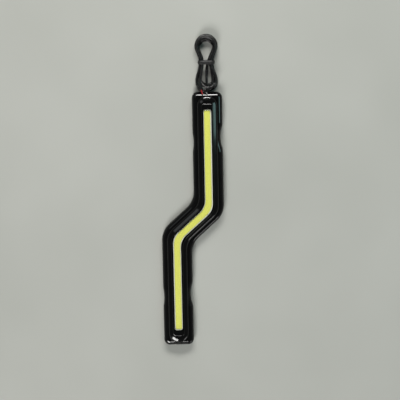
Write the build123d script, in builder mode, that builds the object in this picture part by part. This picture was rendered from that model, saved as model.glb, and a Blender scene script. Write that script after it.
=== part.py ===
"""Z-shaped daytime running light for the front of a car.

The lamp lies on its back. +Z is the way its light goes, +Y runs along the lamp to the end with the lead,
and +X is across it. The origin is the middle of the lamp's footprint, on the surface that it lies on.

A black tray and a two-tier black cover are screwed together round a long LED board. The board's strip of
phosphor shines through a clear lens, which fills a Z-shaped slot along the cover's crown. The lead leaves
the upper end through a grommet and is folded into a tied hank in line with the lamp.
"""

import os
from math import atan2, tan

from build123d import *

os.makedirs("parts", exist_ok=True)

# Plan of the lamp: two straight runs, joined by a slanting step
upper_run = 100.5
lower_run = 95.5
step_along = 25.5
step_across = 28.3

# Body: the outer tier of the cover, and the tray under it
body_width = 26.0
body_bend = 19.0
body_corner = 5.0
shoulder_radius = 3.8
foot_chamfer = 0.5

# Shares of the body's width, on each side: ledge, crown's slope, bezel, and dam beside the phosphor
ledge_share = 0.16
slope_share = 0.14
bezel_share = 0.067
dam_share = 0.031

# Crown: the inner tier of the cover, which slopes up to a bezel round the slot
crown_inset = 2.6
crown_bend = 16.0
crown_edge = 2.6
end_flat = 0.1
bezel_inset = 9.1
bezel_edge = 0.9
slot_inset = 14.3
slot_bend = 14.0
corner_share = 0.5
slot_chamfer = 0.3

# Notches in the body's sides, for fixing clips
deep_notch = 2.0
deep_notch_length = 21.0
shallow_notch = 0.8
shallow_notch_length = 16.0
notch_blend = 12.0
upper_right_notch = 39.0
upper_left_notch = 43.2
lower_right_notch = 50.5
lower_left_notch = 52.7

# Heights, from the surface upwards
liner_thick = 0.2
tape_thick = 1.0
tray_height = 3.5
flange_height = 4.3
crown_height = 2.2
crown_rise = 1.4
bezel_height = 1.0

# Walls of the mouldings
wall = 1.6
floor_thick = 1.4
deck_thick = 1.6
crown_wall = 2.6
bezel_thick = 2.6
lip_thick = 1.0
lip_depth = 1.0
lip_gap = 0.1

# Lens
lens_gap = 0.1
lens_thick = 1.0
lens_recess = 0.3
lens_edge = 0.5

# LED strip
board_lap = 1.5
board_overrun = 1.6
board_thick = 1.2
pad_thick = 0.5
pad_margin = 0.6
spreader_thick = 1.6
rail_thick = 1.0
board_room = 1.2
bead_edge = 0.5
bead_inset = 0.8
bead_lean = 0.15
bead_gap = 0.05
bead_air = 0.3
chip_size = 0.8
chip_height = 0.25
chip_pitch = 4.0
chip_groove = 1.6
chip_room = 0.35

# Screws
boss_gap = 0.2
screw_end_inset = 12.2
screw_bend_inset = 17.0
screw_radius = 0.9
screw_head_radius = 1.7
screw_head_height = 0.8
screw_play = 0.2
pilot_gap = 0.05
boss_radius = 1.9
boss_height = 1.5
seat_depth = 0.9
boss_roof = 0.8
screw_tip_gap = 0.4
recess_width = 0.5
recess_length = 1.9
recess_depth = 0.4

# Lead and grommet
cable_radius = 1.1
cable_gap = 0.05
grommet_radius = 2.0
grommet_gap = 0.05
collar_radius = 2.5
collar_length = 1.5
strip_back = 0.9
core_radius = 0.5
core_spacing = 1.05
core_reach = 2.6

# Driver board in the upper end, with its parts: width, length and height of each
driver_side_gap = 0.3
driver_length = 7.0
driver_thick = 1.0
driver_standoff = 0.8
driver_gap = 0.8
standoff_width = 1.2
regulator_size = (4.4, 2.6, 1.5)
diode_size = (4.4, 2.6, 2.0)
capacitor_size = (3.2, 2.4, 1.8)
resistor_size = (1.9, 1.2, 0.5)
resistor_pitch = 2.3
part_row = 1.5
part_column = 3.6

# Jumper wires from the driver to the LED board
jumper_radius = 0.4
jumper_lap = 1.5
wire_gap = 0.05

# Mounting tape
tape_side_gap = 0.3
tape_length = 70.0
tape_corner = 1.0

# Hank, tie and bare end of the lead
hank_width = 20.0
hank_length = 48.0
hank_height = 10.8
hank_corner = 8.0
hank_edge = 2.0
waist_width = 13.4
waist_height = 7.4
waist_lift = 1.0
waist_curve = 18.0
waist_blend = 4.0
belt_length = 4.0
belt_corner = 3.0
tie_width = 3.4
tie_thick = 0.8
tie_gap = 0.1
tie_tail_radius = 1.0
tie_tail_length = 9.0
end_core_lift = 0.3
end_core_sink = 1.5
red_end_offset = 4.2
red_end_length = 3.0
red_end_drift = 0.15
black_end_offset = 3.0
black_end_length = 2.6
black_end_drift = 0.9
tip_radius = 0.35
tip_length = 1.2

# Places that follow from the sizes above
length = upper_run + step_along + lower_run
upper_end = length / 2
lower_end = -length / 2
upper_bend = upper_end - upper_run
lower_bend = lower_end + lower_run
upper_x = step_across / 2
lower_x = -step_across / 2
mitre = tan(atan2(step_across, step_along) / 2)

tray_level = liner_thick + tape_thick
floor_level = tray_level + floor_thick
parting_level = tray_level + tray_height
deck_level = parting_level + flange_height
slope_level = deck_level + crown_height
crown_level = slope_level + crown_rise
bezel_level = crown_level + bezel_height
ceiling_level = bezel_level - bezel_thick
lens_level = bezel_level - lens_recess - lens_thick
board_top = ceiling_level - board_room
board_level = board_top - board_thick
pad_level = board_level - pad_thick
spreader_level = pad_level - spreader_thick
driver_level = floor_level + driver_standoff
driver_top = driver_level + driver_thick

body_half = body_width / 2
crown_half = body_half - body_width * ledge_share
crown_slope = body_width * slope_share
crown_end = crown_half - end_flat
bezel_half = crown_half - crown_slope
bezel_corner = bezel_half * corner_share
slot_half = bezel_half - body_width * bezel_share
slot_corner = slot_half * corner_share
lip_inset = wall + lip_gap
cavity_inset = lip_inset + lip_thick
boss_level = floor_level + boss_height
boss_top = deck_level - deck_thick
pilot_end = deck_level - boss_roof
seat_level = tray_level + seat_depth
screw_offset = body_half - cavity_inset - boss_gap - boss_radius
board_half = slot_half + board_lap
board_inset = slot_inset - board_overrun
bead_half = slot_half - body_width * dam_share
bead_corner = bead_half * corner_share
lead_level = parting_level
lead_start = upper_end - cavity_inset - strip_back
collar_end = upper_end + collar_length
driver_y = lead_start - driver_gap - driver_length / 2
driver_width = 2 * (screw_offset - boss_radius - driver_side_gap)
tape_width = 2 * (screw_offset - screw_head_radius - screw_play - tape_side_gap)
wire_level = driver_top + wire_gap
red_x = upper_x - core_spacing / 2
black_x = upper_x + core_spacing / 2
hank_y = collar_end + hank_length / 2
waist_level = waist_lift + waist_height / 2
end_y = collar_end + end_core_sink
end_level = deck_level + end_core_lift + core_radius

# Each notch: the middle of its run, its side, its place along the lamp, its depth and its length
notches = [
    (upper_x, 1, upper_end - upper_right_notch, deep_notch, deep_notch_length),
    (upper_x, -1, upper_end - upper_left_notch, shallow_notch, shallow_notch_length),
    (lower_x, 1, lower_bend - lower_right_notch, deep_notch, deep_notch_length),
    (lower_x, -1, lower_bend - lower_left_notch, shallow_notch, shallow_notch_length),
]

# Two screws at each end, and one on the outside of each bend
screw_spots = [
    (upper_x + screw_offset, upper_end - screw_end_inset),
    (upper_x - screw_offset, upper_end - screw_end_inset),
    (upper_x + screw_offset, upper_bend + screw_bend_inset),
    (lower_x - screw_offset, lower_bend - screw_bend_inset),
    (lower_x + screw_offset, lower_end + screw_end_inset),
    (lower_x - screw_offset, lower_end + screw_end_inset),
]

upright = (Align.CENTER, Align.CENTER, Align.MIN)
same_level = 0.001


class ZBand(BaseSketchObject):
    """A band along the lamp's centreline, with rounded bends and ends."""

    def __init__(self, half_width, end_inset, bend_radius, end_radius, lean=0, mode=Mode.ADD):
        slant = half_width * mitre
        upper = upper_x - lean
        lower = lower_x + lean
        corners = [
            (upper + half_width, upper_end - end_inset),
            (upper - half_width, upper_end - end_inset),
            (upper - half_width, upper_bend + slant),
            (lower - half_width, lower_bend + slant),
            (lower - half_width, lower_end + end_inset),
            (lower + half_width, lower_end + end_inset),
            (lower + half_width, lower_bend - slant),
            (upper + half_width, upper_bend - slant),
        ]
        radii = [end_radius, end_radius, bend_radius, bend_radius] * 2
        with BuildSketch() as band:
            with BuildLine():
                FilletPolyline(*corners, radius=radii, close=True)
            make_face()
        super().__init__(band.sketch, mode=mode)


class BodyOutline(BaseSketchObject):
    """The body's outline with its four notches, moved inwards by inset."""

    def __init__(self, inset=0, mode=Mode.ADD):
        with BuildSketch() as outline:
            ZBand(body_half - inset, inset, body_bend, body_corner - inset)
            for run_x, side, y, depth, chord in notches:
                radius = (chord**2 / 4 + depth**2) / (2 * depth)
                edge_x = run_x + side * body_half
                with Locations((edge_x + side * (radius - depth), y)):
                    Circle(radius + inset, mode=Mode.SUBTRACT)
                rim = outline.vertices().sort_by_distance((edge_x, y, 0))[:2]
                fillet(rim, notch_blend - inset)
        super().__init__(outline.sketch, mode=mode)


class Jumper(BasePartObject):
    """A wire from the driver's top, up past the end of the LED board and onto it."""

    def __init__(self, x, mode=Mode.ADD):
        rise_y = (driver_y - driver_length / 2 + upper_end - board_inset) / 2
        low = wire_level + jumper_radius
        high = board_top + wire_gap + jumper_radius
        start = (x, rise_y + jumper_lap, low)
        with BuildPart() as wire:
            with BuildLine():
                Polyline(start, (x, rise_y, low), (x, rise_y, high), (x, rise_y - jumper_lap, high))
            with BuildSketch(Plane(start, z_dir=(0, -1, 0))):
                Circle(jumper_radius)
            sweep(transition=Transition.RIGHT)
        super().__init__(wire.part, mode=mode)


def edges_at(piece, level):
    """The edges of a piece that lie flat at one level."""
    boxes = [(edge, edge.bounding_box()) for edge in piece.edges()]
    return [edge for edge, box in boxes if max(abs(box.min.Z - level), abs(box.max.Z - level)) < same_level]


def keep(piece, name):
    """Labels a finished piece and writes it to a file of that name."""
    piece.part.label = name
    export_step(piece.part, f"parts/{name}.step")


# Rear tray: floor and side walls, rails for the heat spreader, screw bosses and the lead's half hole
with BuildPart() as rear_tray:
    with BuildSketch(Plane.XY.offset(tray_level)):
        BodyOutline()
    extrude(amount=tray_height)
    chamfer(rear_tray.faces().sort_by(Axis.Z)[0].edges(), foot_chamfer)
    with BuildSketch(Plane.XY.offset(floor_level)):
        BodyOutline(inset=wall)
    extrude(amount=tray_height, mode=Mode.SUBTRACT)
    with BuildSketch(Plane.XY.offset(floor_level)):
        ZBand(board_half, board_inset, slot_bend, slot_corner)
        ZBand(board_half - rail_thick, board_inset + rail_thick, slot_bend, slot_corner, mode=Mode.SUBTRACT)
    extrude(amount=spreader_level - floor_level)
    with BuildSketch(Plane.XY.offset(floor_level)):
        with Locations((upper_x, driver_y)):
            with GridLocations(driver_width - standoff_width, 0, 2, 1):
                Rectangle(standoff_width, driver_length)
    extrude(amount=driver_standoff)
    with Locations([(x, y, floor_level) for x, y in screw_spots]):
        Cylinder(boss_radius, boss_height, align=upright)
    with Locations([Plane((x, y, tray_level), z_dir=(0, 0, -1)) for x, y in screw_spots]):
        CounterBoreHole(screw_radius + screw_play, screw_head_radius + screw_play, seat_depth)
    with BuildSketch(Plane.XZ.offset(-upper_end)):
        with Locations((upper_x, lead_level)):
            Circle(grommet_radius + grommet_gap)
    extrude(amount=cavity_inset, mode=Mode.SUBTRACT)
keep(rear_tray, "rear_tray")

# Front cover: flange, sloping crown and bezel as one shell, with a lip inside the tray, a slot and bosses
with BuildPart() as front_cover:
    with BuildSketch(Plane.XY.offset(parting_level)):
        BodyOutline()
    extrude(amount=flange_height)
    fillet(front_cover.faces().sort_by(Axis.Z)[-1].edges(), shoulder_radius)
    with BuildSketch(Plane.XY.offset(parting_level)):
        ZBand(crown_half, crown_inset, crown_bend, crown_end)
    extrude(amount=slope_level - parting_level)
    with BuildSketch(Plane.XY.offset(slope_level)):
        ZBand(crown_half, crown_inset, crown_bend, crown_end)
    with BuildSketch(Plane.XY.offset(crown_level)):
        ZBand(bezel_half, crown_inset + crown_slope, crown_bend, crown_end - crown_slope)
    loft(ruled=True)
    fillet(edges_at(front_cover, slope_level), crown_edge)
    with BuildSketch(Plane.XY.offset(crown_level)):
        ZBand(bezel_half, bezel_inset, crown_bend, bezel_corner)
    extrude(amount=bezel_height)
    fillet(front_cover.faces().sort_by(Axis.Z)[-1].edges(), bezel_edge)
    with BuildSketch(Plane.XY.offset(parting_level - lip_depth)):
        BodyOutline(inset=lip_inset)
    extrude(amount=lip_depth)
    with BuildSketch(Plane.XY.offset(parting_level - lip_depth)):
        BodyOutline(inset=cavity_inset)
    extrude(amount=lip_depth + flange_height - deck_thick, mode=Mode.SUBTRACT)
    with BuildSketch(Plane.XY.offset(parting_level)):
        ZBand(crown_half - crown_wall, crown_inset + crown_wall, crown_bend, crown_end - crown_wall)
    extrude(amount=ceiling_level - parting_level, mode=Mode.SUBTRACT)
    with Locations([(x, y, boss_level) for x, y in screw_spots]):
        Cylinder(boss_radius, boss_top - boss_level, align=upright)
        Cylinder(screw_radius + pilot_gap, pilot_end - boss_level, align=upright, mode=Mode.SUBTRACT)
    with BuildSketch(Plane.XY.offset(ceiling_level)):
        ZBand(slot_half, slot_inset, slot_bend, slot_corner)
    extrude(amount=bezel_thick, mode=Mode.SUBTRACT)
    chamfer(front_cover.faces().sort_by(Axis.Z)[-1].inner_wires().edges(), slot_chamfer)
    with BuildSketch(Plane.XZ.offset(-upper_end)):
        with Locations((upper_x, lead_level)):
            Circle(grommet_radius + grommet_gap)
    extrude(amount=cavity_inset, mode=Mode.SUBTRACT)
keep(front_cover, "front_cover")

# Lens: a clear strip in the slot, glued on the dam of the LED board
with BuildPart() as lens:
    with BuildSketch(Plane.XY.offset(lens_level)):
        ZBand(slot_half - lens_gap, slot_inset + lens_gap, slot_bend, slot_corner)
    extrude(amount=lens_thick)
    fillet(lens.faces().sort_by(Axis.Z)[-1].edges(), lens_edge)
keep(lens, "lens")

# LED board and what carries off its heat, stacked on the tray's rails
with BuildPart() as heat_spreader:
    with BuildSketch(Plane.XY.offset(spreader_level)):
        ZBand(board_half, board_inset, slot_bend, slot_corner)
    extrude(amount=spreader_thick)
keep(heat_spreader, "heat_spreader")

with BuildPart() as thermal_pad:
    with BuildSketch(Plane.XY.offset(pad_level)):
        ZBand(board_half - pad_margin, board_inset + pad_margin, slot_bend, slot_corner)
    extrude(amount=pad_thick)
keep(thermal_pad, "thermal_pad")

with BuildPart() as led_board:
    with BuildSketch(Plane.XY.offset(board_level)):
        ZBand(board_half, board_inset, slot_bend, slot_corner)
    extrude(amount=board_thick)
keep(led_board, "led_board")

# Dam: a white frame on the LED board that reaches up into the slot and carries the lens
with BuildPart() as dam:
    with BuildSketch(Plane.XY.offset(board_top)):
        ZBand(slot_half - lens_gap, slot_inset + lens_gap, slot_bend, slot_corner)
        ZBand(
            bead_half + bead_gap,
            slot_inset + bead_inset - bead_gap,
            slot_bend,
            bead_corner,
            bead_lean,
            mode=Mode.SUBTRACT,
        )
    extrude(amount=lens_level - board_top)
keep(dam, "dam")

# Phosphor: a bead of silicone in the dam, with rounded edges, hollow underneath where the chips are
with BuildPart() as phosphor:
    with BuildSketch(Plane.XY.offset(board_top)):
        ZBand(bead_half, slot_inset + bead_inset, slot_bend, bead_corner, bead_lean)
    extrude(amount=lens_level - bead_air - board_top)
    fillet(phosphor.faces().sort_by(Axis.Z)[-1].edges(), bead_edge)
    with BuildSketch(Plane.XY.offset(board_top)):
        ZBand(chip_groove / 2, slot_inset + bead_half, slot_bend, chip_groove / 4, bead_lean)
    extrude(amount=chip_room, mode=Mode.SUBTRACT)
keep(phosphor, "phosphor")

# Chips: a row along the middle of the phosphor
with BuildLine() as chip_row:
    FilletPolyline(
        (upper_x - bead_lean, upper_end - slot_inset - bead_half),
        (upper_x - bead_lean, upper_bend),
        (lower_x + bead_lean, lower_bend),
        (lower_x + bead_lean, lower_end + slot_inset + bead_half),
        radius=slot_bend,
    )
chip_line = chip_row.wire()
chip_count = int(chip_line.length / chip_pitch)
chip_spots = [chip_line.position_at((i + 0.5) / chip_count) for i in range(chip_count)]
with BuildPart() as led_chips:
    with Locations([(spot.X, spot.Y, board_top) for spot in chip_spots]):
        Box(chip_size, chip_size, chip_height, align=upright)
keep(led_chips, "led_chips")

# Seal: a flat silicone cord that the cover's lip presses on the tray's floor, open at the grommet
with BuildPart() as seal:
    with BuildSketch(Plane.XY.offset(floor_level)):
        BodyOutline(inset=lip_inset)
        BodyOutline(inset=cavity_inset, mode=Mode.SUBTRACT)
        with Locations((upper_x, upper_end)):
            Rectangle(2 * (grommet_radius + grommet_gap), body_width, mode=Mode.SUBTRACT)
    extrude(amount=parting_level - lip_depth - floor_level)
keep(seal, "seal")

# Screws: flat heads in the tray's seats, with a cross recess
with BuildPart() as screws:
    with Locations([(x, y, seat_level - screw_head_height) for x, y in screw_spots]):
        Cylinder(screw_head_radius, screw_head_height, align=upright)
        Box(recess_width, recess_length, recess_depth, align=upright, mode=Mode.SUBTRACT)
        Box(recess_length, recess_width, recess_depth, align=upright, mode=Mode.SUBTRACT)
    with Locations([(x, y, seat_level) for x, y in screw_spots]):
        Cylinder(screw_radius, pilot_end - screw_tip_gap - seat_level, align=upright)
keep(screws, "screws")

# Mounting tape: a foam strip under each straight run, with its release film
tape_spots = [(upper_x, (upper_bend + upper_end) / 2), (lower_x, (lower_bend + lower_end) / 2)]
with BuildPart() as mounting_tape:
    with BuildSketch(Plane.XY.offset(liner_thick)):
        with Locations(tape_spots):
            RectangleRounded(tape_width, tape_length, tape_corner)
    extrude(amount=tape_thick)
keep(mounting_tape, "mounting_tape")

with BuildPart() as tape_liner:
    with BuildSketch():
        with Locations(tape_spots):
            RectangleRounded(tape_width, tape_length, tape_corner)
    extrude(amount=liner_thick)
keep(tape_liner, "tape_liner")

# Driver: a small board on the tray's standoffs, with the parts that set the strip's current
with BuildPart() as driver_board:
    with Locations((upper_x, driver_y, driver_level)):
        Box(driver_width, driver_length, driver_thick, align=upright)
keep(driver_board, "driver_board")

with BuildPart() as regulator:
    with Locations((upper_x - part_column, driver_y + part_row, driver_top)):
        Box(*regulator_size, align=upright)
keep(regulator, "regulator")

with BuildPart() as diode:
    with Locations((upper_x + part_column, driver_y + part_row, driver_top)):
        Box(*diode_size, align=upright)
keep(diode, "diode")

with BuildPart() as capacitor:
    with Locations((upper_x + part_column, driver_y - part_row, driver_top)):
        Box(*capacitor_size, align=upright)
keep(capacitor, "capacitor")

with BuildPart() as resistors:
    with Locations((upper_x - part_column, driver_y - part_row, driver_top)):
        with GridLocations(resistor_pitch, 0, 2, 1):
            Box(*resistor_size, align=upright)
keep(resistors, "resistors")

# Grommet: a rubber sleeve in the split hole of the upper end, with a collar outside
with BuildPart() as grommet:
    with BuildSketch(Plane.XZ.offset(-upper_end)):
        with Locations((upper_x, lead_level)):
            Circle(grommet_radius)
    extrude(amount=cavity_inset)
    with BuildSketch(Plane.XZ.offset(-collar_end)):
        with Locations((upper_x, lead_level)):
            Circle(collar_radius)
    extrude(amount=collar_length)
    with BuildSketch(Plane.XZ.offset(-collar_end)):
        with Locations((upper_x, lead_level)):
            Circle(cable_radius + cable_gap)
    extrude(amount=collar_length + cavity_inset, mode=Mode.SUBTRACT)
keep(grommet, "grommet")

# Lead: its jacket through the grommet, and inside the lamp its two cores
with BuildPart() as cable_tube:
    with BuildSketch(Plane.XZ.offset(-collar_end)):
        with Locations((upper_x, lead_level)):
            Circle(cable_radius)
    extrude(amount=collar_end - lead_start)
keep(cable_tube, "cable_tube")

with BuildPart() as red_core:
    with BuildSketch(Plane.XZ.offset(-lead_start)):
        with Locations((red_x, wire_level + core_radius)):
            Circle(core_radius)
    extrude(amount=core_reach)
keep(red_core, "red_core")

with BuildPart() as black_core:
    with BuildSketch(Plane.XZ.offset(-lead_start)):
        with Locations((black_x, wire_level + core_radius)):
            Circle(core_radius)
    extrude(amount=core_reach)
keep(black_core, "black_core")

# Jumpers: bent wires that rise past the end of the LED board
with BuildPart() as red_jumper:
    Jumper(red_x)
keep(red_jumper, "red_jumper")

with BuildPart() as black_jumper:
    Jumper(black_x)
keep(black_jumper, "black_jumper")

# Hank: the outer shape of the folded lead, drawn in where the tie goes round it
with BuildPart() as cable_hank:
    with BuildSketch() as hank_plan:
        with Locations((upper_x, hank_y)):
            RectangleRounded(hank_width, hank_length, hank_corner)
        for side in (-1, 1):
            with Locations((upper_x + side * (waist_width / 2 + waist_curve), hank_y)):
                Circle(waist_curve, mode=Mode.SUBTRACT)
            rim = hank_plan.vertices().sort_by_distance((upper_x + side * hank_width / 2, hank_y, 0))[:2]
            fillet(rim, waist_blend)
    extrude(amount=hank_height)
    chamfer(cable_hank.edges().filter_by(Plane.XY), hank_edge)
    with BuildSketch(Plane.XZ.offset(-hank_y)):
        with Locations((upper_x, waist_level)):
            Rectangle(2 * hank_width, 2 * hank_height)
            RectangleRounded(waist_width, waist_height, belt_corner, mode=Mode.SUBTRACT)
    extrude(amount=belt_length / 2, both=True, mode=Mode.SUBTRACT)
keep(cable_hank, "cable_hank")

# Tie: a flat band round the hank, with its ends twisted together on top
with BuildPart() as hank_tie:
    with BuildSketch(Plane.XZ.offset(-hank_y)):
        with Locations((upper_x, waist_level)):
            inner = 2 * tie_gap
            outer = inner + 2 * tie_thick
            RectangleRounded(waist_width + outer, waist_height + outer, belt_corner + outer / 2)
            RectangleRounded(
                waist_width + inner, waist_height + inner, belt_corner + inner / 2, mode=Mode.SUBTRACT
            )
    extrude(amount=tie_width / 2, both=True)
    tail_level = waist_level + (waist_height + outer) / 2 + tie_tail_radius / 2
    with Locations(Location((upper_x, hank_y, tail_level), (0, 90, 0))):
        Cylinder(tie_tail_radius, tie_tail_length)
keep(hank_tie, "hank_tie")

# Bare end of the lead: two cores that come out of the hank over the lamp's end, with tinned tips
red_plane = Plane((upper_x - red_end_offset, end_y, end_level), z_dir=(red_end_drift, -1, 0))
with BuildPart() as red_end:
    with BuildSketch(red_plane):
        Circle(core_radius)
    extrude(amount=end_core_sink + red_end_length)
    add(cable_hank.part, mode=Mode.SUBTRACT)
keep(red_end, "red_end")

black_plane = Plane((upper_x - black_end_offset, end_y, end_level), z_dir=(black_end_drift, -1, 0))
with BuildPart() as black_end:
    with BuildSketch(black_plane):
        Circle(core_radius)
    extrude(amount=end_core_sink + black_end_length)
    add(cable_hank.part, mode=Mode.SUBTRACT)
keep(black_end, "black_end")

with BuildPart() as tinned_tips:
    red_tip = red_plane.offset(end_core_sink + red_end_length)
    black_tip = black_plane.offset(end_core_sink + black_end_length)
    with BuildSketch(red_tip, black_tip):
        Circle(tip_radius)
    extrude(amount=tip_length)
keep(tinned_tips, "tinned_tips")
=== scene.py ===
# %% [markdown]
# # A Z-shaped daytime running light
# The lamp is a slim black body with one long strip of yellow phosphor behind a clear lens. It lies on its
# back, and its lead is folded into a tied hank at its upper end. The solids come ready made from the
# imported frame, in metres, so this lesson adds what a solid can't show: the lead as a real cord, the twist
# tie round it, the finishes, the light and the camera.

# %% Load the frame
import math
from collections import namedtuple

import bmesh
import bpy
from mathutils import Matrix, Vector


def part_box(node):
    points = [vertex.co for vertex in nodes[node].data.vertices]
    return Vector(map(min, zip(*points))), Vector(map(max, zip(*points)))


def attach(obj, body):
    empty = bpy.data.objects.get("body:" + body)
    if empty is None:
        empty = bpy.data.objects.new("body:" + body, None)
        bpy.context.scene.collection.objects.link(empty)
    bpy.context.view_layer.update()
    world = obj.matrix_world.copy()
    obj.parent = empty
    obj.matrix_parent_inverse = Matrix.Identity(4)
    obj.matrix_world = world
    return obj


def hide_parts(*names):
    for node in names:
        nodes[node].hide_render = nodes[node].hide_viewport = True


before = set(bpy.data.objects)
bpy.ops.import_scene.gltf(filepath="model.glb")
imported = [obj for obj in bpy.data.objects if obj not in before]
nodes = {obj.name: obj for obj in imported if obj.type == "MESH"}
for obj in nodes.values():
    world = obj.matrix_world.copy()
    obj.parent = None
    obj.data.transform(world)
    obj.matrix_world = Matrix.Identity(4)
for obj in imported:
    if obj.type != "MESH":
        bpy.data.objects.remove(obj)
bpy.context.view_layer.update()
mm = 0.001


def into_scene(name, data):
    """A new object with this data, linked to the scene."""
    thing = bpy.data.objects.new(name, data)
    bpy.context.scene.collection.objects.link(thing)
    return thing


# %% [markdown]
# ## Camera
# The photo looks down on the lamp from far away and a little from beyond its upper end, so its edges
# hardly converge and its upper ends show more than its lower ones. An orthographic camera would come
# close. A long lens at 1.4 metres, tilted by nine degrees, also keeps the little perspective that there
# is. The picture is 400 pixels wide. The middle of the lamp's step lies at a known pixel, and the lamp
# leans to the left by about a degree, so the camera is rolled by that angle and moved sideways until the
# step falls on its pixel.

# %% Camera over the lamp
picture_pixels = 400
mm_per_pixel = 0.8626
step_pixel = (192.9, 223.7)
step_place = Vector((0.0, -2.5)) * mm
step_level = 11.0 * mm
lean = math.radians(1.1)
tilt = math.radians(-9.0)
camera_distance = 1.4

right = Vector((math.cos(lean), -math.sin(lean)))
up = Vector((math.sin(lean), math.cos(lean))) / math.cos(tilt)
to_middle = (picture_pixels / 2 - step_pixel[0], step_pixel[1] - picture_pixels / 2)
middle = step_place + (right * to_middle[0] + up * to_middle[1]) * mm_per_pixel * mm
aim = Vector((middle.x, middle.y, step_level))

camera_data = bpy.data.cameras.new("photo_camera")
camera_data.sensor_width = 36.0
camera_data.lens = camera_data.sensor_width * camera_distance / (picture_pixels * mm_per_pixel * mm)
camera = into_scene("photo_camera", camera_data)
camera.rotation_euler = (tilt, 0, -lean)
camera.location = aim + camera.rotation_euler.to_matrix() @ Vector((0, 0, camera_distance))
bpy.context.scene.camera = camera
print("camera over", [round(v / mm, 1) for v in aim], "mm, lens", round(camera_data.lens), "mm")

# %% [markdown]
# ## Lead
# The lead is a round black cable, 2.2 mm thick and a little over half a metre long. It leaves the lamp
# through a rubber grommet and is folded to and fro into a flat hank, as such leads are when a lamp is
# stored. A cord could be swept as a mesh tube, but a curve with a round bevel is simpler and keeps its
# true centreline. The boxes of the plain solids tell how thick the lead is and how much room the hank has.
# Places in the hank are written in millimetres, across and along from its middle and up from the floor.

# %% Places in the hank
hank_low, hank_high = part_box("cable_hank")
tube_low, tube_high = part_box("cable_tube")
hank_middle = (hank_low + hank_high) / 2
lead_radius = (tube_high.z - tube_low.z) / 2
lead_level = (tube_low.z + tube_high.z) / 2
half_hank = ((hank_high.y - hank_low.y) / 2 - lead_radius) / mm


def in_hank(across, along, height):
    """A point in millimetres from the middle of the hank and the floor."""
    return Vector((hank_middle.x + across * mm, hank_middle.y + along * mm, height * mm))


print("hank reaches", round(half_hank, 1), "mm from its middle to the middle of its outermost folds")

# %% [markdown]
# Each fold of the hank is half a turn at one of its ends. The first turns lie flat on the floor. The next
# ones lie on them, and at the lamp's end they climb over the lead where it comes out. The loops end at
# different places and overlap, because nobody folds a cable perfectly. A helix could only give even turns,
# so every fold has its own row of small differences. The lane is half the width of a loop. The shape gives
# the places of flanks and toe as shares of the lane, and one fold is broader than the rest. The numbers
# after it are millimetres: how far the toe stays short of the hank's end, how far the fold is off to one
# side, how high its flanks and its toe lie, and how far to one side and how high the next run passes the
# tie.

# %% Folds of the hank
FAR, NEAR = 1, -1
OUTER, MIDDLE, INNER = 8.7, 7.7, 6.6
ROUND = {"flank_out": 1.17, "flank_back": 0.96, "toe_out": 0.545}
BROAD = {"flank_out": 1.12, "flank_back": 0.85, "toe_out": 0.65}
Fold = namedtuple("Fold", "end lane shape slack across flank_height toe_height tie_across tie_height")
folds = [
    Fold(FAR, INNER, ROUND, 2.4, -0.1, 1.1, 1.2, -3.1, 2.0),
    Fold(NEAR, INNER, ROUND, 3.6, 0.7, 1.5, 1.5, 4.3, 2.2),
    Fold(FAR, OUTER, ROUND, 0.0, 0.1, 1.5, 1.3, -5.3, 2.9),
    Fold(NEAR, OUTER, BROAD, -1.3, 0.0, 3.2, 1.1, 5.0, 5.7),
    Fold(FAR, OUTER, ROUND, 0.3, 0.0, 5.0, 3.4, -4.9, 5.7),
    Fold(NEAR, INNER, ROUND, -0.4, -1.8, 6.5, 8.3, 3.4, 4.2),
    Fold(FAR, INNER, ROUND, 4.6, 0.1, 3.5, 2.8, -3.2, 4.2),
    Fold(NEAR, INNER, ROUND, 1.7, 1.6, 7.6, 9.9, 3.6, 7.3),
    Fold(FAR, MIDDLE, ROUND, 1.5, 0.0, 7.5, 7.5, -3.5, 7.3),
]
print("folds of the hank:", len(folds))

# %% [markdown]
# Now the folds become control points. One NURBS spline of order 3 will follow them: it touches the middle
# of each leg between two points and cuts inside the corners. So four points make one round fold: two where
# its flanks are widest, and two at its toe. The tie draws the middle of the hank in, so each run gets two
# points closer to the middle, either side of the tie. The lead starts in the grommet and sinks to the
# floor before its first fold.

# %% Turns of the hank
tie_reach = 3.3


def half_turn(fold):
    """The control points of a fold, which runs the same way round at both ends."""
    toe = fold.end * (half_hank - fold.slack)
    toe_out = fold.end * fold.shape["toe_out"] * fold.lane
    flank = toe - fold.end * fold.shape["flank_back"] * fold.lane
    flank_out = fold.end * fold.shape["flank_out"] * fold.lane
    return [
        in_hank(fold.across + flank_out, flank, fold.flank_height),
        in_hank(fold.across + toe_out, toe, fold.toe_height),
        in_hank(fold.across - toe_out, toe, fold.toe_height),
        in_hank(fold.across - flank_out, flank, fold.flank_height),
    ]


def past_tie(fold):
    """Two points either side of the tie, on the run that follows a fold."""
    return [in_hank(fold.tie_across, fold.end * side * tie_reach, fold.tie_height) for side in (1, -1)]


route = [
    Vector((hank_middle.x, tube_low.y, lead_level)),
    in_hank(0, -14.0, lead_level / mm),
    in_hank(0, -3.7, 2.9),
    in_hank(3.2, 5.1, 1.1),
]
for fold in folds:
    route += half_turn(fold) + past_tie(fold)
print("control points up to the last fold:", len(route))

# %% [markdown]
# The far end of the lead isn't in a plug: it comes back over the hank to the lamp's end, where the jacket
# stops and a red and a black core stick out, ready to be wired in. Blender counts the radius of a curve's
# points in the curve's box, so the true radius stands on the points and the bevel is a unit circle. The
# spline's order is set after its points, because Blender lowers it for a spline that still has too few.

# %% Lead as one spline
jacket_end = in_hank(-4.1, -22.8, 10.3)
route += [in_hank(-5.1, -13.4, 9.9), in_hank(-6.0, -18.2, 10.3), jacket_end]


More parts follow.
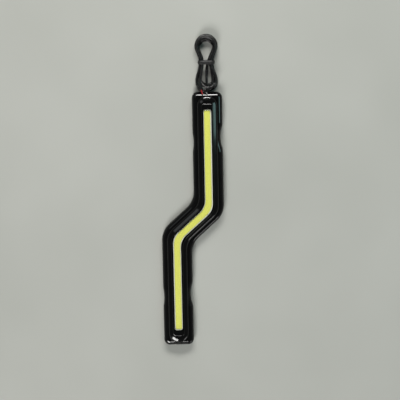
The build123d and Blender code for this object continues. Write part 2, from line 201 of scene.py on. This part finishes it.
def round_cord(name, points, radius):
    """A round cord along one smooth open spline."""
    line = bpy.data.curves.new(name, "CURVE")
    line.dimensions = "3D"
    spline = line.splines.new("NURBS")
    spline.points.add(len(points) - 1)
    for point, place in zip(spline.points, points):
        point.co = (*place, 1.0)
        point.radius = radius
    spline.order_u = 3
    spline.use_endpoint_u = True
    spline.resolution_u = 8
    line.bevel_depth = 1.0
    line.bevel_resolution = 5
    line.use_fill_caps = True
    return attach(into_scene(name, line), "root")


lead = round_cord("lead", route, lead_radius)
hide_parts("cable_tube", "cable_hank")
print("lead with", len(route), "points")

# %% [markdown]
# ## Bare cores
# Two thin cores, a red and a black one, leave the jacket and lie over the lamp's end. In the solids they
# are straight rods. Springy wires fan out, so here each is a short curve: it starts inside the jacket,
# comes out beside the other core and bows a little on its way to its tinned tip. The solid's box gives its
# thickness and its end. That end lies at a slant, so its middle is a quarter of the radius in from the
# box.

# %% Cores of the bare end
core_apart = 0.5 * mm
core_hidden = 1.5 * mm
core_ahead = 0.8 * mm
core_rise = 0.1 * mm
core_bow = 0.2 * mm
end_slant = 0.25


def bare_core(name, node, side):
    """A curved core from the jacket's end to where the solid core ends, on one side of the jacket."""
    low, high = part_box(node)
    radius = (high.z - low.z) / 2
    tip = Vector((high.x - radius, low.y + end_slant * radius, (low.z + high.z) / 2))
    start = jacket_end + Vector((side * core_apart, core_hidden, 0))
    out = jacket_end + Vector((side * core_apart, -core_ahead, core_rise))
    bow = (out + tip) / 2 - Vector((core_bow, 0, 0))
    core = round_cord(name, [start, out, bow, tip], radius)
    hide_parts(node)
    print(name, "ends at", [round(v / mm, 1) for v in tip], "mm")
    return core


red_wire = bare_core("red_wire", "red_end", -1)
black_wire = bare_core("black_wire", "black_end", 1)

# %% [markdown]
# ## Twist tie
# A twist tie holds the hank: a flat plastic ribbon with a thin steel wire along its middle, put once round
# the waist. A strip with a Solidify modifier would be quick, but it has no rib over the wire. So a small
# profile, half of it drawn and half mirrored, is carried round a rounded rectangle. Each rounded corner
# gets a fan of rings, and the straight stretches between the corners need none of their own.

# %% Ribbon round the waist
tie_low, tie_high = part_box("hank_tie")
tie_middle = (tie_low + tie_high) / 2
waist_half, waist_tall, waist_corner = 6.85, 3.85, 3.15
waist_rise = 4.6
waist_level = tie_low.z / mm + waist_rise
corner_steps = 8
half_profile = [(1.6, 0), (1.7, 0.15), (1.6, 0.3), (0.5, 0.32), (0.3, 0.62)]
profile = half_profile + [(-along, rise) for along, rise in reversed(half_profile)]


def in_tie(across, along, height):
    """A point in millimetres from the middle of the tie and the floor."""
    return (tie_middle.x + across * mm, tie_middle.y + along * mm, height * mm)


ribbon = []
for quarter, (side_x, side_z) in enumerate([(1, 1), (-1, 1), (-1, -1), (1, -1)]):
    for i in range(corner_steps + 1):
        turn = math.radians(90 * (quarter + i / corner_steps))
        out_x, out_z = math.cos(turn), math.sin(turn)
        at_x = side_x * (waist_half - waist_corner) + waist_corner * out_x
        at_z = side_z * (waist_tall - waist_corner) + waist_corner * out_z + waist_level
        ribbon.append([in_tie(at_x + rise * out_x, along, at_z + rise * out_z) for along, rise in profile])
print("rings of the ribbon:", len(ribbon))

# %% [markdown]
# On top of the hank the two ends of the ribbon are twisted together. There they are crumpled into strands
# that turn about each other and part at the ends of the tail. Screw modifiers could wind them, but not let
# them part. Here every ring of a strand is worked out from its share of the way along the tail.

# %% Twisted tail
tail_level, tail_half, tail_turns = 9.8, 4.4, 2.0
tail_steps, strand_corners = 48, 12
strand_off, strand_flat, strand_thick = 0.42, 0.36, 0.52
parted_share, parted_off = 0.14, 0.4


def tail_strand(phase):
    """One strand of the tail, as rings along it."""
    rings = []
    for i in range(tail_steps + 1):
        share = i / tail_steps
        turn = phase + 2 * math.pi * tail_turns * share
        parted = max(0.0, abs(share - 0.5) - (0.5 - parted_share)) / parted_share
        off = strand_off + parted_off * parted
        ring = []
        for k in range(strand_corners):
            lap = 2 * math.pi * k / strand_corners
            flat, thick = off + strand_flat * math.cos(lap), strand_thick * math.sin(lap)
            along = flat * math.cos(turn) - thick * math.sin(turn)
            rise = flat * math.sin(turn) + thick * math.cos(turn)
            ring.append(in_tie((2 * share - 1) * tail_half, along, tail_level + rise))
        rings.append(ring)
    return rings


strands = [tail_strand(0), tail_strand(math.pi)]
print("strands of the tail:", len(strands), "with", len(strands[0]), "rings each")

# %% [markdown]
# Ribbon and strands become one mesh. A row of four-cornered faces joins each ring to the next. The ribbon
# closes on itself, and a strand gets a cap at each end. Faces made from lists may come out inside out, so
# BMesh turns them all outwards before the mesh is shaded smooth.

# %% Tie as one mesh
def skin(rings, closed):
    """The corners and faces of a skin over a row of rings, which is closed or has end caps."""
    around = len(rings[0])
    corners = [corner for ring in rings for corner in ring]
    faces = []
    for a in range(len(rings) if closed else len(rings) - 1):
        b = (a + 1) % len(rings)
        for k in range(around):
            n = (k + 1) % around
            faces.append((a * around + k, a * around + n, b * around + n, b * around + k))
    if not closed:
        faces += [tuple(range(around)), tuple(range(len(corners) - around, len(corners)))]
    return corners, faces


tie_corners, tie_faces = [], []
for corners, faces in [skin(ribbon, closed=True)] + [skin(strand, closed=False) for strand in strands]:
    tie_faces += [tuple(k + len(tie_corners) for k in face) for face in faces]
    tie_corners += corners
tie_mesh = bpy.data.meshes.new("twist_tie")
tie_mesh.from_pydata(tie_corners, [], tie_faces)
outwards = bmesh.new()
outwards.from_mesh(tie_mesh)
bmesh.ops.recalc_face_normals(outwards, faces=outwards.faces)
outwards.to_mesh(tie_mesh)
outwards.free()
tie_mesh.polygons.foreach_set("use_smooth", [True] * len(tie_mesh.polygons))
twist_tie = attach(into_scene("twist_tie", tie_mesh), "root")
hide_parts("hank_tie")
print("twist tie with", len(tie_mesh.polygons), "faces")

# %% [markdown]
# ## Grommet
# To Blender the lead is only a curve. The grommet's box shows where it leaves the lamp's upper end.

grommet_low, grommet_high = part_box("grommet")

# %% [markdown]
# ## Finishes
# Every finish is a Principled shader with a little noise in it, because real surfaces are never quite
# even. An image texture could do that too, but noise needs no unwrapping and stays sharp from close by. It
# is laid out in the piece's own space, in metres, so 1000 specks per metre are about a millimetre apart.
# Each helper finds the node tree by the shader's id_data, which is the tree that a node stands in.

# %% Shader and grain
def finish(name):
    """A new material and its shader."""
    material = bpy.data.materials.new(name)
    material.use_nodes = True
    return material, material.node_tree.nodes["Principled BSDF"]


def grain(shader, specks, detail=3.0, stretch=(1, 1, 1)):
    """Noise in the piece's own space, with so many specks per metre."""
    tree = shader.id_data
    place = tree.nodes.new("ShaderNodeTexCoord")
    spread = tree.nodes.new("ShaderNodeMapping")
    spread.inputs["Scale"].default_value = stretch
    noise = tree.nodes.new("ShaderNodeTexNoise")
    noise.inputs["Scale"].default_value = specks
    noise.inputs["Detail"].default_value = detail
    tree.links.new(place.outputs["Object"], spread.inputs["Vector"])
    tree.links.new(spread.outputs["Vector"], noise.inputs["Vector"])
    return noise.outputs["Fac"]


def wear(material, *names):
    """Puts one finish on several pieces of the frame."""
    for name in names:
        nodes[name].data.materials.clear()
        nodes[name].data.materials.append(material)


print("noise is laid out in metres")

# %% [markdown]
# Four more helpers put the noise to use. One turns a factor into a number between two values, one colours
# the shader between two tones, one varies how rough it is, and one adds a fine relief. Noise is seldom
# near 0 or 1, so its middle stretch is spread over the whole way from one value to the other.

# %% Tone, gloss and relief
noise_low, noise_high = 0.3, 0.7


def ranged(shader, factor, low, high, at_low, at_high):
    """A number that goes from one value to another while a factor goes from low to high."""
    tree = shader.id_data
    limits = tree.nodes.new("ShaderNodeMapRange")
    limits.inputs["From Min"].default_value = low
    limits.inputs["From Max"].default_value = high
    limits.inputs["To Min"].default_value = at_low
    limits.inputs["To Max"].default_value = at_high
    tree.links.new(factor, limits.inputs["Value"])
    return limits.outputs["Result"]


def tone(shader, factor, dark, light):
    """Colours the shader between two tones."""
    tree = shader.id_data
    ramp = tree.nodes.new("ShaderNodeValToRGB")
    for stop, place, colour in zip(ramp.color_ramp.elements, (noise_low, noise_high), (dark, light)):
        stop.position = place
        stop.color = (*colour, 1)
    tree.links.new(factor, ramp.inputs["Fac"])
    tree.links.new(ramp.outputs["Color"], shader.inputs["Base Color"])


def gloss(shader, factor, smooth, rough):
    """Varies the shader's roughness between two limits."""
    roughness = ranged(shader, factor, noise_low, noise_high, smooth, rough)
    shader.id_data.links.new(roughness, shader.inputs["Roughness"])


def relief(shader, factor, depth, strength):
    """Raises and sinks the surface by a fine relief, depth in metres."""
    tree = shader.id_data
    bump = tree.nodes.new("ShaderNodeBump")
    bump.inputs["Distance"].default_value = depth
    bump.inputs["Strength"].default_value = strength
    tree.links.new(factor, bump.inputs["Height"])
    tree.links.new(bump.outputs["Normal"], shader.inputs["Normal"])


print("noise is used from", noise_low, "to", noise_high)

# %% [markdown]
# ## Cover
# The cover is a glossy black moulding. A mould leaves a faint ripple in such a surface, and handling
# leaves patches that shine a little less. One even gloss would make the steep sides mirror the floor as
# pale lines. In the photo they stay dark, as if that part of the mould were etched. So the gloss is a
# clear coat that only the top wears. The shader reads how steep the surface is from the height of its
# normal.

# %% Black cover
steep, level = 0.6, 0.78
cover_black, shader = finish("cover_black")
tone(
    shader, grain(shader, specks=60, detail=4),
    dark=(0.0022, 0.0023, 0.0024), light=(0.0034, 0.0036, 0.0037),
)
gloss(shader, grain(shader, specks=140, detail=5), smooth=0.1, rough=0.2)
relief(shader, grain(shader, specks=420, detail=2), depth=0.004 * mm, strength=0.35)
shader.inputs["Specular IOR Level"].default_value = 0.12

tree = shader.id_data
surface = tree.nodes.new("ShaderNodeNewGeometry")
normal = tree.nodes.new("ShaderNodeSeparateXYZ")
tree.links.new(surface.outputs["Normal"], normal.inputs["Vector"])
coat = ranged(shader, normal.outputs["Z"], low=steep, high=level, at_low=0.0, at_high=1.0)
tree.links.new(coat, shader.inputs["Coat Weight"])
shader.inputs["Coat Roughness"].default_value = 0.06
shader.inputs["Coat IOR"].default_value = 1.7
wear(cover_black, "front_cover")
print("cover:", cover_black.name)

# %% [markdown]
# ## Tray
# The tray behind the cover is the same plastic with the fine matt grain of an untouched mould. The grain
# could be sculpted, but it is finer than any mesh should be, so a bump relief stands for it.

# %% Black tray
tray_black, shader = finish("tray_black")
tone(shader, grain(shader, specks=90, detail=4), dark=(0.006, 0.006, 0.0063), light=(0.01, 0.01, 0.0102))
gloss(shader, grain(shader, specks=300, detail=4), smooth=0.42, rough=0.58)
relief(shader, grain(shader, specks=3500, detail=2), depth=0.03 * mm, strength=0.6)
wear(tray_black, "rear_tray")
print("tray:", tray_black.name)

# %% [markdown]
# ## Lens
# The lens is a thin strip of clear acrylic with flat faces, so light passes almost straight through it.
# Glass with full transmission bends the light and would leave the strip too dark. So the shader is a
# pale mirror that is nearly transparent: face on, it keeps a few parts in a hundred of the light as a
# reflection, and at a slant more, which the Layer Weight node measures.

# %% Clear lens
lens_clear, shader = finish("lens_clear")
tone(shader, grain(shader, specks=30), dark=(0.97, 0.98, 0.97), light=(1.0, 1.0, 0.99))
gloss(shader, grain(shader, specks=200, detail=4), smooth=0.02, rough=0.07)
shader.inputs["Metallic"].default_value = 1.0
tree = shader.id_data
slant = tree.nodes.new("ShaderNodeLayerWeight")
mirror = ranged(shader, slant.outputs["Facing"], low=0.5, high=1.0, at_low=0.045, at_high=0.6)
tree.links.new(mirror, shader.inputs["Alpha"])
wear(lens_clear, "lens")
print("lens:", lens_clear.name)

# %% [markdown]
# ## Phosphor and what holds it
# Under the lens lies the phosphor, a bead of silicone with yellow powder in it: slightly mottled, soft,
# with a faint sheen. It could be made to glow, but the lamp is off, so it only has its own colour. A white
# silicone dam holds the bead in and shows beside it as two pale lines. Board and chips lie underneath.

# %% Phosphor, dam, board and chips
phosphor_yellow, shader = finish("phosphor_yellow")
tone(shader, grain(shader, specks=900, detail=4), dark=(0.74, 0.76, 0.135), light=(0.82, 0.84, 0.17))
gloss(shader, grain(shader, specks=500), smooth=0.35, rough=0.5)
relief(shader, grain(shader, specks=1500, detail=2), depth=0.03 * mm, strength=0.5)
wear(phosphor_yellow, "phosphor")

dam_white, shader = finish("dam_white")
tone(shader, grain(shader, specks=250), dark=(0.76, 0.77, 0.66), light=(0.84, 0.85, 0.74))
gloss(shader, grain(shader, specks=800), smooth=0.4, rough=0.55)
relief(shader, grain(shader, specks=3000, detail=2), depth=0.01 * mm, strength=0.5)
wear(dam_white, "dam")

board_white, shader = finish("board_white")
tone(shader, grain(shader, specks=250), dark=(0.74, 0.76, 0.6), light=(0.82, 0.84, 0.68))
gloss(shader, grain(shader, specks=800), smooth=0.35, rough=0.5)
relief(shader, grain(shader, specks=4000, detail=2), depth=0.01 * mm, strength=0.5)
wear(board_white, "led_board")

chip_pale, shader = finish("chip_pale")
tone(shader, grain(shader, specks=3000), dark=(0.45, 0.45, 0.38), light=(0.55, 0.55, 0.48))
gloss(shader, grain(shader, specks=3000), smooth=0.15, rough=0.3)
wear(chip_pale, "led_chips")
print("strip:", phosphor_yellow.name, dam_white.name, board_white.name, chip_pale.name)

# %% [markdown]
# ## Heat path and seal
# A soft grey pad takes the board's heat to an aluminium bar, and a silicone cord seals the body. They are
# hidden when the lamp is closed, so their finishes are plain. The bar is rolled, and stretching its noise
# along the lamp gives it the long streaks of the rolls.

# %% Pad, bar and seal
rolled = (1, 0.02, 1)
pad_grey, shader = finish("pad_grey")
tone(shader, grain(shader, specks=1200), dark=(0.33, 0.37, 0.42), light=(0.42, 0.46, 0.5))
gloss(shader, grain(shader, specks=900), smooth=0.6, rough=0.8)
wear(pad_grey, "thermal_pad")

bar_aluminium, shader = finish("bar_aluminium")
streaks = grain(shader, specks=900, detail=4, stretch=rolled)
tone(shader, streaks, dark=(0.62, 0.63, 0.64), light=(0.76, 0.77, 0.78))
gloss(shader, grain(shader, specks=1500, detail=4, stretch=rolled), smooth=0.28, rough=0.45)
shader.inputs["Metallic"].default_value = 1.0
wear(bar_aluminium, "heat_spreader")

seal_silicone, shader = finish("seal_silicone")
tone(shader, grain(shader, specks=700), dark=(0.48, 0.48, 0.46), light=(0.58, 0.58, 0.56))
gloss(shader, grain(shader, specks=900), smooth=0.45, rough=0.6)
wear(seal_silicone, "seal")
print("heat path:", pad_grey.name, bar_aluminium.name, "and", seal_silicone.name)

# %% [markdown]
# ## Driver
# The driver is a small green circuit board in the upper end of the body. Its chip, diode and resistors are
# moulded in black epoxy, and its capacitor is a brown ceramic block. Traces and solder could be drawn on
# it, but the cover hides them, so each part has one true colour and gloss.

# %% Driver and its parts
board_green, shader = finish("board_green")
tone(shader, grain(shader, specks=900, detail=4), dark=(0.012, 0.12, 0.045), light=(0.022, 0.18, 0.07))
gloss(shader, grain(shader, specks=1200), smooth=0.2, rough=0.35)
wear(board_green, "driver_board")

part_epoxy, shader = finish("part_epoxy")
tone(shader, grain(shader, specks=4000), dark=(0.016, 0.016, 0.018), light=(0.03, 0.03, 0.032))
gloss(shader, grain(shader, specks=4000), smooth=0.5, rough=0.7)
wear(part_epoxy, "regulator", "diode", "resistors")

part_ceramic, shader = finish("part_ceramic")
tone(shader, grain(shader, specks=2500), dark=(0.36, 0.22, 0.11), light=(0.46, 0.3, 0.16))
gloss(shader, grain(shader, specks=2500), smooth=0.3, rough=0.45)
wear(part_ceramic, "capacitor")
print("driver:", board_green.name, part_epoxy.name, part_ceramic.name)

# %% [markdown]
# ## Back of the lamp
# The lamp is stuck on with foam tape, whose glue a red film still covers, and screws hold the two shells
# together from behind. Foam is full of tiny cells, so its relief is deep and its gloss low. The film is
# smooth. The screws are zinc plated: a Metallic of 1 makes the shader's colour the colour of its mirror.

# %% Tape, film and screws
tape_foam, shader = finish("tape_foam")
tone(shader, grain(shader, specks=5000, detail=4), dark=(0.03, 0.03, 0.033), light=(0.075, 0.075, 0.08))
gloss(shader, grain(shader, specks=3000), smooth=0.75, rough=0.95)
relief(shader, grain(shader, specks=5000, detail=4), depth=0.1 * mm, strength=0.6)
wear(tape_foam, "mounting_tape")

film_red, shader = finish("film_red")
tone(shader, grain(shader, specks=60), dark=(0.42, 0.02, 0.018), light=(0.55, 0.035, 0.028))
gloss(shader, grain(shader, specks=250), smooth=0.12, rough=0.25)
wear(film_red, "tape_liner")

screw_zinc, shader = finish("screw_zinc")
tone(shader, grain(shader, specks=2500, detail=4), dark=(0.42, 0.43, 0.45), light=(0.6, 0.6, 0.6))
gloss(shader, grain(shader, specks=3000, detail=4), smooth=0.22, rough=0.42)
shader.inputs["Metallic"].default_value = 1.0
wear(screw_zinc, "screws")
print("back:", tape_foam.name, film_red.name, screw_zinc.name)

# %% [markdown]
# ## Cable
# The lead's jacket is PVC with a half gloss, drawn through a die. A plain black would look like enamel, so
# a fine relief breaks its highlights up a little. The black core has the same finish, and the red core is
# the same plastic in another colour. The solids that the cords replace wear these finishes as well.

# %% Jacket and cores
cable_black, shader = finish("cable_black")
tone(shader, grain(shader, specks=400, detail=4), dark=(0.007, 0.007, 0.0075), light=(0.013, 0.013, 0.0135))
gloss(shader, grain(shader, specks=900, detail=4), smooth=0.2, rough=0.3)
relief(shader, grain(shader, specks=2500), depth=0.03 * mm, strength=0.3)
lead.data.materials.append(cable_black)
black_wire.data.materials.append(cable_black)
wear(cable_black, "black_core", "black_jumper", "black_end", "cable_tube", "cable_hank")

wire_red, shader = finish("wire_red")
tone(shader, grain(shader, specks=900), dark=(0.42, 0.014, 0.02), light=(0.56, 0.03, 0.035))
gloss(shader, grain(shader, specks=1200), smooth=0.28, rough=0.4)
red_wire.data.materials.append(wire_red)
wear(wire_red, "red_core", "red_jumper", "red_end")
print("cable:", cable_black.name, wire_red.name)

# %% [markdown]
# ## Grommet, tie and tips
# The grommet is matt rubber with a dusty grain. The twist tie is duller than the cable that it holds,
# which keeps the two apart to the eye. The tips of the cores are strands dipped in tin, bright but not
# quite smooth; each strand could be modelled, but at this size fine noise looks the same.

# %% Rubber, ribbon and tin
grommet_rubber, shader = finish("grommet_rubber")
tone(shader, grain(shader, specks=1500, detail=4), dark=(0.009, 0.009, 0.009), light=(0.017, 0.017, 0.017))
gloss(shader, grain(shader, specks=2000), smooth=0.5, rough=0.7)
relief(shader, grain(shader, specks=6000, detail=2), depth=0.02 * mm, strength=0.5)
wear(grommet_rubber, "grommet")

tie_black, shader = finish("tie_black")
tone(shader, grain(shader, specks=1500), dark=(0.006, 0.006, 0.0065), light=(0.011, 0.011, 0.0115))
gloss(shader, grain(shader, specks=1800), smooth=0.45, rough=0.6)
tie_mesh.materials.append(tie_black)
wear(tie_black, "hank_tie")

tips_tinned, shader = finish("tips_tinned")
tone(shader, grain(shader, specks=6000), dark=(0.6, 0.6, 0.58), light=(0.82, 0.82, 0.8))
gloss(shader, grain(shader, specks=6000), smooth=0.15, rough=0.3)
shader.inputs["Metallic"].default_value = 1.0
wear(tips_tinned, "tinned_tips")
print("on the lead:", grommet_rubber.name, tie_black.name, tips_tinned.name)

# %% [markdown]
# ## Floor
# The lamp lies on a plain pale floor. One large square is enough, since the camera looks down on it. It
# lies a hair below the lamp, so that no two faces share a plane, and it hardly shines, so that it shows
# soft shadows and no reflections.

# %% Floor
half_floor = 3.0
floor_drop = 0.05 * mm
sides = [(-1, -1), (1, -1), (1, 1), (-1, 1)]
floor_corners = [(x * half_floor, y * half_floor, -floor_drop) for x, y in sides]
floor_mesh = bpy.data.meshes.new("floor")
floor_mesh.from_pydata(floor_corners, [], [(0, 1, 2, 3)])
floor = into_scene("floor", floor_mesh)
floor_pale, shader = finish("floor_pale")
tone(shader, grain(shader, specks=8, detail=2), dark=(0.45, 0.46, 0.43), light=(0.49, 0.5, 0.47))
shader.inputs["Roughness"].default_value = 0.9
shader.inputs["Specular IOR Level"].default_value = 0.1
floor_mesh.materials.append(floor_pale)
print("floor", 2 * half_floor, "m across")

# %% [markdown]
# ## Lights
# A glossy black thing is drawn by what it reflects. An even studio would make it grey all over, so each
# light is placed where one surface mirrors it to the camera. The far box, low beyond the upper end, draws
# the bright lines on the ends of the tiers. The near box lights the strip and the floor. Three dim panels
# give the slopes their sheen: a cool one on the right, one on the left for the step's upper side, and a
# low one for the step's lower side.

# %% Soft boxes and panels
def soft_box(name, place, target, width, height, power, colour):
    """A rectangular lamp that faces a target, sizes in metres and power in watts."""
    data = bpy.data.lights.new(name, "AREA")
    data.shape = "RECTANGLE"
    data.size = width
    data.size_y = height
    data.energy = power
    data.color = colour
    box = into_scene(name, data)
    box.location = place
    box.rotation_euler = (Vector(target) - Vector(place)).to_track_quat("-Z", "Y").to_euler()
    print(name, "of", power, "W")


origin = (0, 0, 0)
upper_end = (hank_middle.x, grommet_low.y, 10 * mm)
upper_strip = (0, 0.06, 0)
soft_box(
    "far_box", place=(0.0, 0.97, 0.78), target=upper_end,
    width=0.8, height=0.26, power=12.7, colour=(1.0, 0.99, 0.96),
)
soft_box(
    "near_box", place=(-0.4, -0.95, 1.0), target=origin,
    width=0.7, height=0.6, power=13.0, colour=(1.0, 0.99, 0.97),
)
soft_box(
    "right_panel", place=(0.8, 0.13, 0.9), target=upper_strip,
    width=0.4, height=0.4, power=0.75, colour=(0.6, 1.0, 0.98),
)
soft_box(
    "left_panel", place=(-0.6, 0.46, 1.06), target=origin,
    width=0.3, height=0.3, power=0.13, colour=(0.95, 1.0, 1.0),
)
soft_box(
    "low_panel", place=(0.75, -1.05, 0.5), target=origin,
    width=0.5, height=0.25, power=0.9, colour=(1.0, 1.0, 0.98),
)

# %% [markdown]
# ## World
# The world is the sky of the studio, and the cover mirrors it too. One even grey would lift every black,
# so the sky is dim and grows darker with height: its level follows the height of each ray, from the
# horizon to overhead. That keeps the flat parts of the cover black.

# %% Dark sky
sky_levels = [(0.0, 0.1), (0.5, 0.045), (0.95, 0.02)]
world = bpy.data.worlds.new("studio")
bpy.context.scene.world = world
world.use_nodes = True
tree = world.node_tree
direction = tree.nodes.new("ShaderNodeTexCoord")
ray = tree.nodes.new("ShaderNodeSeparateXYZ")
sky = tree.nodes.new("ShaderNodeValToRGB")
while len(sky.color_ramp.elements) < len(sky_levels):
    sky.color_ramp.elements.new(0.5)
for stop, (height, brightness) in zip(sky.color_ramp.elements, sky_levels):
    stop.position = height
    stop.color = (brightness, brightness, brightness, 1)
tree.links.new(direction.outputs["Generated"], ray.inputs["Vector"])
tree.links.new(ray.outputs["Z"], sky.inputs["Fac"])
tree.links.new(sky.outputs["Color"], tree.nodes["Background"].inputs["Color"])
bpy.context.scene.view_settings.view_transform = "Standard"
print("world:", world.name)
